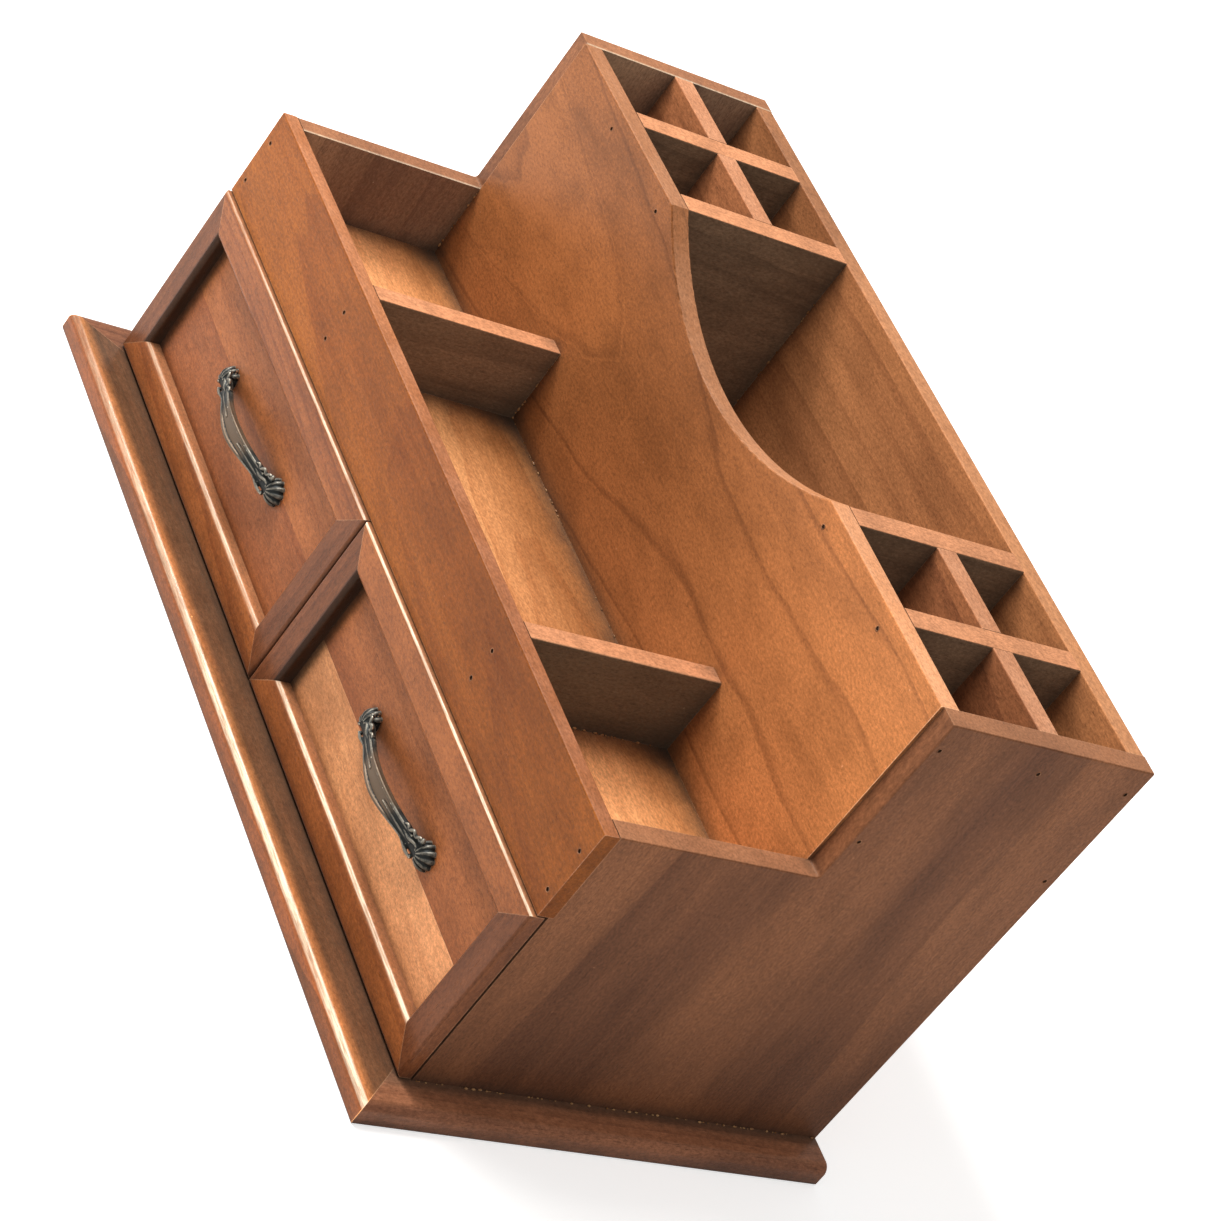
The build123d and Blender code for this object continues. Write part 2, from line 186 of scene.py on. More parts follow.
half = floorSetup["size"] / 2
floorMesh = bpy.data.meshes.new("studioFloor")
corners = [(-half, -half, 0), (half, -half, 0), (half, half, 0), (-half, half, 0)]
floorMesh.from_pydata(corners, [], [(0, 1, 2, 3)])
studioFloor = bpy.data.objects.new("studioFloor", floorMesh)
studioFloor.location.z = cadLow.z
scene.collection.objects.link(studioFloor)
floorMaterial = bpy.data.materials.new("paleFloor")
floorMaterial.use_nodes = True
floorTree = floorMaterial.node_tree
floorShader = floorTree.nodes["Principled BSDF"]
floorPlace = addNode(floorTree, "TexCoord").outputs["Object"]
floorTone = remap(floorTree, speckle(floorTree, floorPlace, 3.0), 0.3, 0.7)
floorColour = mixColour(
    floorTree, floorTone, paint(*floorSetup["colour"]), paint(*floorSetup["patches"]))
floorTree.links.new(floorColour, floorShader.inputs["Base Color"])
floorShader.inputs["Roughness"].default_value = 0.9
floorShader.inputs["Emission Color"].default_value = (1, 1, 1, 1)
seen = addNode(floorTree, "LightPath").outputs["Is Camera Ray"]
glow = calc(floorTree, "MULTIPLY", seen, floorSetup["glow"])
floorTree.links.new(glow, floorShader.inputs["Emission Strength"])
floorMesh.materials.append(floorMaterial)
print("camera, lights and floor are set")


def makeGrowthRings():
    # Place is board space in metres: X along the grain, Y across the face, Z through the thickness
    tree, given, made = startGroup(
        "growthRings",
        {"Place": "Vector", "Pith Across": "Float", "Pith Depth": "Float", "Slant": "Float",
         "Level From": "Float", "Ring Width": "Float", "Wander": "Float",
         "First Year": "Float", "Line From": "Float"},
        {"Line": "Float", "Tone": "Float"})
    wide = stretched(tree, given["Place"], (4.5, 14, 14))
    bend = calc(tree, "MULTIPLY", calc(tree, "SUBTRACT", speckle(tree, wide, 1.0, 1.5), 0.5), given["Wander"])
    fine = stretched(tree, given["Place"], (22, 110, 110))
    ripple = calc(tree, "MULTIPLY", calc(tree, "SUBTRACT", speckle(tree, fine, 1.0, 2.0), 0.5), 0.0022)
    split = addNode(tree, "SeparateXYZ", {0: given["Place"]}).outputs
    across = calc(tree, "ADD", calc(tree, "SUBTRACT", split["Y"], given["Pith Across"]), bend)
    leaning = addNode(tree, "Math", {0: split["X"], 1: given["Level From"], 2: 0.05}, operation="SMOOTH_MIN")
    lean = calc(tree, "MULTIPLY", leaning.outputs[0], given["Slant"])
    depth = calc(tree, "ADD", calc(tree, "ADD", split["Z"], given["Pith Depth"]), lean)
    squares = calc(tree, "ADD", calc(tree, "MULTIPLY", across, across), calc(tree, "MULTIPLY", depth, depth))
    radius = calc(tree, "ADD", calc(tree, "SQRT", squares), ripple)
    turns = calc(tree, "DIVIDE", radius, given["Ring Width"])
    year = calc(tree, "ADD", calc(tree, "FLOOR", turns), given["First Year"])
    through = calc(tree, "FRACT", turns)
    swell = remap(tree, through, given["Line From"], 0.96)
    drop = remap(tree, through, 0.97, 1.0, 1.0, 0.0)
    tree.links.new(calc(tree, "MULTIPLY", swell, drop), made["Line"])
    shade = addNode(tree, "TexWhiteNoise", {"W": year}, noise_dimensions="1D")
    tree.links.new(shade.outputs["Value"], made["Tone"])
    return tree


def makeFibres():
    # fine streaks along X, short open pores, the height of both, and a stipple
    tree, given, made = startGroup(
        "woodFibres",
        {"Place": "Vector", "Pore Amount": "Float"},
        {"Streaks": "Float", "Pores": "Float", "Height": "Float", "Mottle": "Float"})
    broad = speckle(tree, stretched(tree, given["Place"], (14, 420, 420)), 1.0, 3.0, 0.6)
    narrow = speckle(tree, stretched(tree, given["Place"], (60, 2300, 2300)), 1.0, 2.0, 0.6)
    mottle = speckle(tree, stretched(tree, given["Place"], (620, 1150, 1150)), 1.0, 2.0, 0.7)
    streaks = calc(tree, "ADD", calc(tree, "MULTIPLY", broad, 0.46), calc(tree, "MULTIPLY", narrow, 0.28))
    streaks = calc(tree, "ADD", streaks, calc(tree, "MULTIPLY", mottle, 0.34))
    tree.links.new(remap(tree, streaks, 0.4, 0.68, smooth=False), made["Streaks"])
    stipple = speckle(tree, stretched(tree, given["Place"], (520, 900, 900)), 1.0, 3.0, 0.8)
    tree.links.new(remap(tree, stipple, 0.3, 0.7, smooth=False), made["Mottle"])
    dashes = speckle(tree, stretched(tree, given["Place"], (230, 3600, 3600)), 1.0, 0.0)
    gate = calc(tree, "SUBTRACT", 0.80, calc(tree, "MULTIPLY", given["Pore Amount"], 0.13))
    pores = remap(tree, calc(tree, "SUBTRACT", dashes, gate), 0.0, 0.06)
    tree.links.new(pores, made["Pores"])
    height = calc(tree, "SUBTRACT", calc(tree, "MULTIPLY", streaks, 0.7), pores)
    tree.links.new(height, made["Height"])
    return tree


def makeEdgeWearAndGlint():
    # where the finish is rubbed off sharp edges; the same mask also makes a painted highlight along them
    tree, given, made = startGroup(
        "edgeWearAndGlint", {"Place": "Vector", "Width": "Float", "Amount": "Float"}, {"Mask": "Float"})
    rounded = addNode(tree, "Bevel", {"Radius": given["Width"]}, samples=6)
    true = addNode(tree, "NewGeometry").outputs["Normal"]
    apart = addNode(tree, "VectorMath", {0: rounded.outputs[0], 1: true}, operation="DOT_PRODUCT")
    edge = remap(tree, calc(tree, "SUBTRACT", 1.0, apart.outputs["Value"]), 0.015, 0.2)
    patchy = remap(tree, speckle(tree, given["Place"], 45, 4.0, 0.65), 0.36, 0.62, 0.35, 1.0)
    tree.links.new(calc(tree, "MULTIPLY", calc(tree, "MULTIPLY", edge, patchy), given["Amount"], True),
                   made["Mask"])
    return tree


def makeStain():
    # uneven stain: wide cloudy bands that follow the grain, and small blotches
    tree, given, made = startGroup(
        "stainClouds", {"Place": "Vector"}, {"Bands": "Float", "Blotches": "Float"})
    bands = speckle(tree, stretched(tree, given["Place"], (3.2, 17, 17)), 1.0, 2.0, 0.5, 0.4)
    tree.links.new(remap(tree, bands, 0.34, 0.66), made["Bands"])
    blotches = speckle(tree, stretched(tree, given["Place"], (26, 60, 60)), 1.0, 3.0, 0.6)
    tree.links.new(remap(tree, blotches, 0.38, 0.68), made["Blotches"])
    return tree


def makeDustAndSheen():
    # bare fibres, dust and a painted sheen on faces that look up, pale specks on every face, and a mask of
    # faces that look right
    tree, given, made = startGroup(
        "dustSpecksAndSheen",
        {"Place": "Vector"},
        {"Top Dust Sheen": "Float", "Specks": "Float", "Painted Highlight": "Float", "Shaded Side": "Float"})
    normal = addNode(tree, "SeparateXYZ", {0: addNode(tree, "NewGeometry").outputs["Normal"]}).outputs
    facing = normal["Z"]
    # faces that look right: mask for a painted grey tint that stands in for their shade
    tree.links.new(remap(tree, normal["X"], 0.7, 0.95), made["Shaded Side"])
    # painted highlight on rounded edges that look forward and up, broken into dashes along the grain
    slope = calc(tree, "MULTIPLY", calc(tree, "MULTIPLY", normal["Y"], facing), -2.0)
    dashes = speckle(tree, stretched(tree, given["Place"], (90, 1500, 1500)), 1.0, 4.0, 0.75)
    dashes = remap(tree, dashes, 0.36, 0.6)
    patches = speckle(tree, stretched(tree, given["Place"], (14, 60, 60)), 1.0, 2.0)
    patches = remap(tree, patches, 0.3, 0.6, 0.35, 1.0)
    broken = calc(tree, "MULTIPLY", calc(tree, "ADD", calc(tree, "MULTIPLY", dashes, 0.6), 0.4), patches)
    tree.links.new(calc(tree, "MULTIPLY", remap(tree, slope, 0.6, 1.0), broken), made["Painted Highlight"])
    cloudy = remap(tree, speckle(tree, given["Place"], 60, 3.0, 0.6), 0.25, 0.7, 0.6, 1.0)
    tree.links.new(calc(tree, "MULTIPLY", remap(tree, facing, 0.75, 0.97), cloudy), made["Top Dust Sheen"])
    cells = addNode(tree, "TexVoronoi", {"Vector": given["Place"], "Scale": 160.0}, feature="F1")
    chosen = addNode(tree, "SeparateColor", {0: cells.outputs["Color"]}).outputs["Red"]
    dot = remap(tree, cells.outputs["Distance"], 0.03, 0.09, 1.0, 0.0)
    tree.links.new(calc(tree, "MULTIPLY", dot, calc(tree, "GREATER_THAN", chosen, 0.93)), made["Specks"])
    return tree


def makeDirtAndShade():
    # dirt, and painted shade that darkens corners and joints by ambient occlusion
    tree, given, made = startGroup("cornerDirtAndShade", {"Place": "Vector", "Reach": "Float"}, {"Mask": "Float"})
    closed = addNode(tree, "AmbientOcclusion", {"Distance": given["Reach"]}, samples=5).outputs["AO"]
    patchy = calc(tree, "SUBTRACT", speckle(tree, given["Place"], 110, 3.0, 0.6), 0.5)
    patchy = calc(tree, "MULTIPLY", patchy, 0.3)
    tree.links.new(remap(tree, calc(tree, "ADD", closed, patchy), 0.35, 0.88, 1.0, 0.0), made["Mask"])
    return tree


def makeTarnish():
    # metal: dark film that stays in hollows, bright worn ridges, and the open faces between
    tree, given, made = startGroup(
        "tarnish", {"Place": "Vector", "Low": "Float", "High": "Float"},
        {"Worn": "Float", "Open": "Float", "Grit": "Float"})
    point = addNode(tree, "NewGeometry").outputs["Pointiness"]
    cloud = calc(tree, "SUBTRACT", speckle(tree, given["Place"], 700, 3.0, 0.6), 0.5)
    cloud = calc(tree, "MULTIPLY", cloud, 0.03)
    raised = calc(tree, "ADD", point, cloud)
    span = addNode(tree, "MapRange", {"Value": raised, "From Min": given["Low"], "From Max": given["High"]})
    tree.links.new(span.outputs["Result"], made["Worn"])
    notHollow = remap(tree, raised, 0.47, 0.495)
    notRaised = remap(tree, raised, 0.515, 0.545, 1.0, 0.0)
    tree.links.new(calc(tree, "MULTIPLY", notHollow, notRaised), made["Open"])
    tree.links.new(speckle(tree, given["Place"], 2600, 2.0, 0.6), made["Grit"])
    return tree


growthRings = makeGrowthRings()
woodFibres = makeFibres()
edgeWearAndGlint = makeEdgeWearAndGlint()
stainClouds = makeStain()
dustSpecksAndSheen = makeDustAndSheen()
cornerDirtAndShade = makeDirtAndShade()
tarnish = makeTarnish()
print("shared effects are built")


# reach: metres that the dirt and painted corner shade spread from a corner; lineFrom: where in a ring's width
# its dark line starts
# the highlight share: a painted highlight on rounded front edges; the grey share: how far faces that look
# right get a painted grey tint for their shade
usualLook = {"dirtAndShade": 0.75, "coatRough": 0.25, "reach": 0.011, "lineFrom": 0.5, "paintedHighlight": 0.0, "shadedSideShare": 0.0}
woodLooks = {
    # light and dark: the stained wood; the bare colour: rubbed wood at edges, and dust with a painted sheen
    # on upward faces
    # the upward share: how far upward faces go to the bare colour, as dust and a painted sheen; ring, tone,
    # streak, cloud: shares of the figure
    "fascia": {**usualLook, "light": (160, 90, 29), "dark": (122, 61, 16), "bareAndSheen": (187, 132, 100),
               "topDustSheen": 0.62, "ring": 0.2, "tone": 0.2, "streak": 0.4, "cloud": 0.38, "rough": 0.44,
               "coat": 0.05, "wearAndGlint": 0.75, "pores": 0.75, "ringWidth": 7.0},
    "panel": {**usualLook, "light": (156, 96, 54), "dark": (104, 60, 33), "bareAndSheen": (170, 123, 92),
              "topDustSheen": 0.6, "ring": 0.8, "tone": 1.5, "streak": 0.3, "cloud": 0.3, "rough": 0.42,
              "coat": 0.05, "wearAndGlint": 0.8, "pores": 0.45, "ringWidth": 11.0, "lineFrom": 0.88},
    "side": {**usualLook, "light": (146, 94, 62), "dark": (102, 63, 43), "bareAndSheen": (165, 115, 83),
             "topDustSheen": 0.6, "ring": 0.15, "tone": 0.3, "streak": 0.35, "cloud": 0.7, "rough": 0.5,
             "coat": 0.04, "wearAndGlint": 0.5, "pores": 0.7, "ringWidth": 12.0},
    "plinth": {**usualLook, "light": (160, 104, 74), "dark": (94, 56, 40), "bareAndSheen": (196, 136, 94),
               "topDustSheen": 0.1, "ring": 0.3, "tone": 0.35, "streak": 0.35, "cloud": 0.6, "rough": 0.34,
               "coat": 0.12, "wearAndGlint": 0.35, "pores": 0.8, "ringWidth": 5.0, "coatRough": 0.14,
               "paintedHighlight": 0.2},
    # painted shade: a darker copy of the plinth look for the front strip, whose top lies in shade beside the
    # drawers
    "plinthFront": {**usualLook, "light": (95, 55, 33), "dark": (62, 36, 21), "bareAndSheen": (220, 170, 126),
                    "topDustSheen": 0.1, "ring": 0.3, "tone": 0.35, "streak": 0.35, "cloud": 0.45,
                    "rough": 0.34, "coat": 0.15, "wearAndGlint": 0.35, "pores": 0.8, "ringWidth": 5.0,
                    "coatRough": 0.14, "paintedHighlight": 1.0},
    # painted shade: colours set darker and greyer than the strip look, to match the dividers' shaded faces
    # that look right
    "divider": {**usualLook, "light": (150, 100, 68), "dark": (104, 68, 46), "bareAndSheen": (202, 138, 98),
                "topDustSheen": 1.0, "ring": 0.2, "tone": 0.3, "streak": 0.3, "cloud": 0.4, "rough": 0.5,
                "coat": 0.03, "wearAndGlint": 0.6, "pores": 0.7, "ringWidth": 8.0, "dirtAndShade": 0.6, "reach": 0.018,
                "shadedSideShare": 1.0},
    "strip": {**usualLook, "light": (176, 112, 72), "dark": (124, 74, 48), "bareAndSheen": (186, 132, 99),
              "topDustSheen": 1.0, "ring": 0.2, "tone": 0.3, "streak": 0.3, "cloud": 0.4, "rough": 0.5,
              "coat": 0.03, "wearAndGlint": 0.6, "pores": 0.7, "ringWidth": 8.0},
    "rail": {**usualLook, "light": (160, 94, 50), "dark": (116, 60, 30), "bareAndSheen": (216, 160, 118),
             "topDustSheen": 0.3, "ring": 0.3, "tone": 0.2, "streak": 0.35, "cloud": 0.3, "rough": 0.32,
             "coat": 0.12, "wearAndGlint": 0.2, "pores": 0.6, "ringWidth": 4.5, "dirtAndShade": 0.5, "coatRough": 0.12,
             "paintedHighlight": 1.0},
    "stile": {**usualLook, "light": (124, 73, 44), "dark": (90, 49, 29), "bareAndSheen": (216, 160, 118),
              "topDustSheen": 0.3, "ring": 0.3, "tone": 0.3, "streak": 0.35, "cloud": 0.3, "rough": 0.32,
              "coat": 0.1, "wearAndGlint": 0.45, "pores": 0.6, "ringWidth": 4.5, "coatRough": 0.12},
    "front": {**usualLook, "light": (168, 100, 56), "dark": (122, 64, 35), "bareAndSheen": (208, 146, 100),
              "topDustSheen": 0.3, "ring": 0.3, "tone": 0.4, "streak": 0.3, "cloud": 0.35, "rough": 0.4,
              "coat": 0.06, "wearAndGlint": 0.4, "pores": 0.6, "ringWidth": 9.0, "dirtAndShade": 0.55},
    "lightFront": {**usualLook, "light": (200, 138, 90), "dark": (160, 100, 60),
                   "bareAndSheen": (220, 162, 116), "topDustSheen": 0.3, "ring": 0.3, "tone": 0.4, "streak": 0.3,
                   "cloud": 0.3, "rough": 0.4, "coat": 0.06, "wearAndGlint": 0.4, "pores": 0.5,
                   "ringWidth": 9.0, "dirtAndShade": 0.55},
    "trayFloor": {**usualLook, "light": (222, 158, 104), "dark": (184, 120, 74),
                  "bareAndSheen": (222, 162, 112), "topDustSheen": 0.0, "ring": 0.25, "tone": 0.4, "streak": 0.5,
                  "cloud": 0.45, "rough": 0.42, "coat": 0.05, "wearAndGlint": 0.2, "pores": 0.8,
                  "ringWidth": 3.5, "dirtAndShade": 1.0, "reach": 0.02},
    "back": {**usualLook, "light": (196, 130, 82), "dark": (144, 90, 56), "bareAndSheen": (181, 130, 94),
             "topDustSheen": 0.62, "ring": 0.2, "tone": 0.3, "streak": 0.25, "cloud": 0.5, "rough": 0.48,
             "coat": 0.04, "wearAndGlint": 0.6, "pores": 0.7, "ringWidth": 12.0},
    "rawBoard": {**usualLook, "light": (222, 190, 146), "dark": (186, 146, 100),
                 "bareAndSheen": (232, 206, 168), "topDustSheen": 0.1, "ring": 0.5, "tone": 0.3, "streak": 0.4,
                 "cloud": 0.2, "rough": 0.7, "coat": 0.0, "wearAndGlint": 0.3, "pores": 0.3, "ringWidth": 5.0,
                 "dirtAndShade": 0.25},
    "rawSheet": {**usualLook, "light": (196, 156, 112), "dark": (158, 116, 78), "bareAndSheen": (210, 176, 136),
                 "topDustSheen": 0.1, "ring": 0.3, "tone": 0.5, "streak": 0.4, "cloud": 0.3, "rough": 0.75,
                 "coat": 0.0, "wearAndGlint": 0.3, "pores": 0.5, "ringWidth": 14.0, "dirtAndShade": 0.25},
}
woodFinish = {
    "wearWidth": 0.0007,                            # metres of finish lost at an edge, which also makes a painted edge highlight
    "blotch": 0.3,
    "pore": 0.55,
    "deep": 0.55,                                   # brightness of pores and blotches
    "speck": 0.5,
    "scuffGlintColour": (224, 176, 136),
    "scuffGlint": 0.55,
    "cornerDirtShade": (60, 48, 40),
    "highlightColour": (250, 224, 192),
    "highlightSpan": (-0.2, 0.08, 0.32, 1.0),          # X from and to in metres, and the painted highlight's strength there
    # painted shade: grey tint for faces that look right
    "shadedSideTint": (0.885, 1.35, 1.76, 1),
    "mottle": 0.66,
    "mottleLeast": 0.67,
    "specular": 0.16,
    "specularTint": (1, 0.74, 0.52, 1),
    "bump": 0.35,
    "bumpHeight": 0.0002,
}
grainOrders = {
    # which part axes become along the grain, across the face, through the board
    "wide": "XZY",
    "upright": "ZYX",
    "deep": "YZX",
    "flat": "XYZ",
    "flatDeep": "YXZ",
    "standing": "ZXY",
}
fadesAndPaintedLight = {
    # painted light and shade on most boards, a slow change of tone on the rest: axis, start and end in mm,
    # and what the colour is multiplied by
    # painted light: the scooped panel lighter towards +X
    "scooped_panel_wood": ((0, -20, 175, (2.0, 2.1, 2.15)),),
    # painted shade: the tray floor darker towards the scooped panel; painted light: lighter towards both ends
    "tray_floor_wood": ((1, -48, 0, (0.54, 0.48, 0.4)), (0, 70, 140, (1.8, 2.0, 2.2)),
                        (0, -60, -150, (1.25, 1.25, 1.3))),
    # painted light: the left side's inner face lighter and greyer
    "left_side_panel_wood": ((0, -192.6, -191.4, (1.5, 2.4, 3.3)),),
    # darker towards +X
    "fascia_board_wood": ((0, -150, 150, (0.8, 0.77, 0.8)),),
    # painted light: the plinth front's outer nose lighter
    "base_front_strip_wood": ((1, -104, -111, (3.9, 3.2, 2.2)),),
    # painted shade: the back panel darker towards -X
    "back_panel_wood": ((0, -65, -120, (0.66, 0.64, 0.64)),),
    # painted shadow: a dark strip beside each drawer's left stile on the front board
    "left_drawer_front_board_wood": ((0, -177, -183.5, (0.22, 0.24, 0.27)),),
    "right_drawer_upper_front_strip_wood": ((0, 23, 16.5, (0.22, 0.24, 0.27)),),
    # painted shade: the right tray divider's face that looks right darker
    "right_tray_divider_wood": ((0, 101.6, 102.6, (0.58, 0.66, 0.7)),),
    # painted shade: the right side darker towards the bottom
    "right_side_panel_wood": ((2, 110, 14, (0.62, 0.6, 0.62)),),
    # painted shade: the right plinth strip darker next to the side panel
    "base_right_strip_wood": ((0, 207, 200.5, (0.62, 0.72, 0.8)),),
    # painted shadow: the left stiles darker along their inner edges
    "left_drawer_left_stile_wood": ((0, -188.2, -186.4, (0.22, 0.24, 0.28)),),
    "right_drawer_left_stile_wood": ((0, 12.2, 14, (0.22, 0.24, 0.28)),),
    # lighter towards +X, and a painted shadow strip beside the left stile
    "right_drawer_lower_front_strip_wood": ((0, 20, 160, (1.5, 1.6, 1.75)),
                                            (0, 23, 16.5, (0.22, 0.24, 0.27))),
}


def woodEffects(tree, look, axes, order, pith):
    turned = addNode(tree, "CombineXYZ", {0: axes[order[0]], 1: axes[order[1]], 2: axes[order[2]]}).outputs[0]
    place = stretched(tree, turned, (1, 1, 1), pith["shift"])
    return {
        "rings": placeGroup(tree, growthRings, {
            "Place": place, "Pith Across": pith["across"], "Pith Depth": pith["depth"],
            "Slant": pith["slant"], "Level From": pith["level"], "Ring Width": look["ringWidth"] * mm,
            "Wander": pith["wander"], "First Year": pith["firstYear"], "Line From": look["lineFrom"]}),
        "fibres": placeGroup(tree, woodFibres, {"Place": place, "Pore Amount": look["pores"]}),
        "clouds": placeGroup(tree, stainClouds, {"Place": place}),
        "wearAndGlint": placeGroup(tree, edgeWearAndGlint, {
            "Place": place, "Width": woodFinish["wearWidth"], "Amount": look["wearAndGlint"]}),
        "dustAndSheen": placeGroup(tree, dustSpecksAndSheen, {"Place": place}),
        "dirtAndShade": placeGroup(tree, cornerDirtAndShade, {"Place": place, "Reach": look["reach"]}),
    }


def stainedColour(tree, look, effects):
    # rings, streaks and bands between the light and the dark tone, then blotches and pores
    figure = calc(tree, "MULTIPLY", effects["rings"]["Line"], look["ring"])
    for effect, output, share in (("rings", "Tone", "tone"), ("fibres", "Streaks", "streak"),
                                  ("clouds", "Bands", "cloud")):
        figure = calc(tree, "ADD", figure, calc(tree, "MULTIPLY", effects[effect][output], look[share]))
    total = look["ring"] + look["tone"] + look["streak"] + look["cloud"]
    figure = remap(tree, figure, 0.12 * total, 0.82 * total, smooth=False)
    colour = mixColour(tree, figure, paint(*look["light"]), paint(*look["dark"]))
    deepTone = tuple(channel * woodFinish["deep"] for channel in paint(*look["dark"])[:3]) + (1,)
    blotches = calc(tree, "MULTIPLY", effects["clouds"]["Blotches"], woodFinish["blotch"])
    colour = mixColour(tree, blotches, colour, deepTone)
    pores = calc(tree, "MULTIPLY", effects["fibres"]["Pores"], woodFinish["pore"])
    return mixColour(tree, pores, colour, deepTone)


def agedColour(tree, look, effects, axes, rubbedAndSheen, shifts, colour):
    # bare wood and a painted sheen, fades that are mostly painted light and shade, a painted grey tint on
    # shaded side faces, stipple, dirt and painted shade in corners, and a painted highlight on rounded edges
    streaky = calc(tree, "MULTIPLY", effects["fibres"]["Streaks"], 0.3)
    bareAndSheen = mixColour(tree, streaky, paint(*look["bareAndSheen"]), paint(*look["light"]))
    colour = mixColour(tree, rubbedAndSheen, colour, bareAndSheen)
    # worn edges go paler still: partly wear, partly a painted edge highlight
    scuffGlints = calc(tree, "MULTIPLY", effects["wearAndGlint"]["Mask"], woodFinish["scuffGlint"])
    colour = mixColour(tree, scuffGlints, colour, paint(*woodFinish["scuffGlintColour"]))
    # fades: mostly painted light and shade, a few plain changes of tone
    for axis, start, end, shift in shifts:
        share = remap(tree, axes[axis], start * mm, end * mm)
        colour = mixColour(tree, share, colour, (*shift, 1), "MULTIPLY")
    # painted shade: faces that look right take a greyer tint
    shadedSideShare = calc(tree, "MULTIPLY", effects["dustAndSheen"]["Shaded Side"], look["shadedSideShare"])
    colour = mixColour(tree, shadedSideShare, colour, woodFinish["shadedSideTint"], "MULTIPLY")
    mottled = calc(tree, "MULTIPLY", effects["fibres"]["Mottle"], woodFinish["mottle"])
    mottled = calc(tree, "ADD", mottled, woodFinish["mottleLeast"])
    colour = mixColour(tree, 1.0, colour, mottled, "MULTIPLY")
    # painted shade mixed with dirt: corners and joints darkened by ambient occlusion
    cornerDirtShade = calc(tree, "MULTIPLY", effects["dirtAndShade"]["Mask"], look["dirtAndShade"])
    colour = mixColour(tree, cornerDirtShade, colour, paint(*woodFinish["cornerDirtShade"]))
    # painted highlight: pale streaks on rounded edges that face forward and up, weaker towards -X
    highlighted = calc(tree, "MULTIPLY", effects["dustAndSheen"]["Painted Highlight"], look["paintedHighlight"])
    highlighted = calc(tree, "MULTIPLY", highlighted, remap(tree, axes["X"], *woodFinish["highlightSpan"]))
    return mixColour(tree, highlighted, colour, paint(*woodFinish["highlightColour"]))


def woodMaterial(name, look, order, pith):
    # pith: across, depth and slant of the tree's heart, seen from the board's own middle
    material = bpy.data.materials.new(name)
    material.use_nodes = True
    tree = material.node_tree
    shader = tree.nodes["Principled BSDF"]
    body = addNode(tree, "TexCoord").outputs["Object"]
    axes = addNode(tree, "SeparateXYZ", {0: body}).outputs
    effects = woodEffects(tree, look, axes, order, pith)
    # upward faces go paler: dust, and a painted sheen
    topDustSheen = calc(tree, "MULTIPLY", effects["dustAndSheen"]["Top Dust Sheen"], look["topDustSheen"])
    rubbedAndSheen = calc(tree, "MAXIMUM", effects["wearAndGlint"]["Mask"], topDustSheen)
    specks = calc(tree, "MULTIPLY", effects["dustAndSheen"]["Specks"], woodFinish["speck"])
    rubbedAndSheen = calc(tree, "MAXIMUM", rubbedAndSheen, specks)
    colour = stainedColour(tree, look, effects)
    colour = agedColour(tree, look, effects, axes, rubbedAndSheen, fadesAndPaintedLight.get(name, ()), colour)
    tree.links.new(colour, shader.inputs["Base Color"])

    rough = calc(tree, "MULTIPLY", effects["fibres"]["Streaks"], 0.12)
    rough = calc(tree, "ADD", rough, look["rough"] - 0.06)
    rough = calc(tree, "ADD", rough, calc(tree, "MULTIPLY", rubbedAndSheen, 0.2))
    tree.links.new(rough, shader.inputs["Roughness"])
    if look["coat"]:
        coat = calc(tree, "MULTIPLY", calc(tree, "SUBTRACT", 1.0, rubbedAndSheen), look["coat"])
        tree.links.new(coat, shader.inputs["Coat Weight"])
        shader.inputs["Coat Roughness"].default_value = look["coatRough"]
    shader.inputs["Specular IOR Level"].default_value = woodFinish["specular"]
    shader.inputs["Specular Tint"].default_value = woodFinish["specularTint"]
    bump = addNode(tree, "Bump", {"Strength": woodFinish["bump"], "Distance": woodFinish["bumpHeight"],
                                  "Height": effects["fibres"]["Height"]})
    tree.links.new(bump.outputs["Normal"], shader.inputs["Normal"])
    return material


boardLooks = {
    # node: look, grain
    "fascia_board": ("fascia", "wide"),
    "scooped_panel": ("panel", "wide"),
    "back_panel": ("back", "wide"),
    "left_side_panel": ("side", "upright"),
    "right_side_panel": ("side", "upright"),
    "tray_floor": ("trayFloor", "flat"),
    "base_board": ("rawSheet", "flat"),
    "base_front_strip": ("plinthFront", "wide"),
    "base_left_strip": ("plinth", "deep"),
    "base_right_strip": ("plinth", "deep"),
    "drawer_partition": ("rawBoard", "deep"),
    "left_compartment_wall": ("divider", "deep"),
    "right_compartment_wall": ("divider", "deep"),
    "left_deep_strip": ("divider", "deep"),
    "right_deep_strip": ("divider", "deep"),
    "left_wide_strip": ("strip", "wide"),
    "right_wide_strip": ("strip", "wide"),
    "left_tray_divider": ("divider", "deep"),
    "right_tray_divider": ("divider", "deep"),
    "right_drawer_lower_front_strip": ("lightFront", "wide"),
    "right_drawer_upper_front_strip": ("front", "wide"),
    "left_drawer_front_board": ("front", "wide"),
}
for side in ("left", "right"):
    boardLooks[side + "_drawer_top_rail"] = ("rail", "wide")
    boardLooks[side + "_drawer_bottom_rail"] = ("rail", "wide")
    boardLooks[side + "_drawer_left_stile"] = ("stile", "standing")
    boardLooks[side + "_drawer_right_stile"] = ("stile", "standing")
    boardLooks[side + "_drawer_bottom"] = ("rawSheet", "flatDeep")
    boardLooks[side + "_drawer_box_back"] = ("rawBoard", "wide")
    boardLooks[side + "_drawer_box_left"] = ("rawBoard", "deep")
    boardLooks[side + "_drawer_box_right"] = ("rawBoard", "deep")

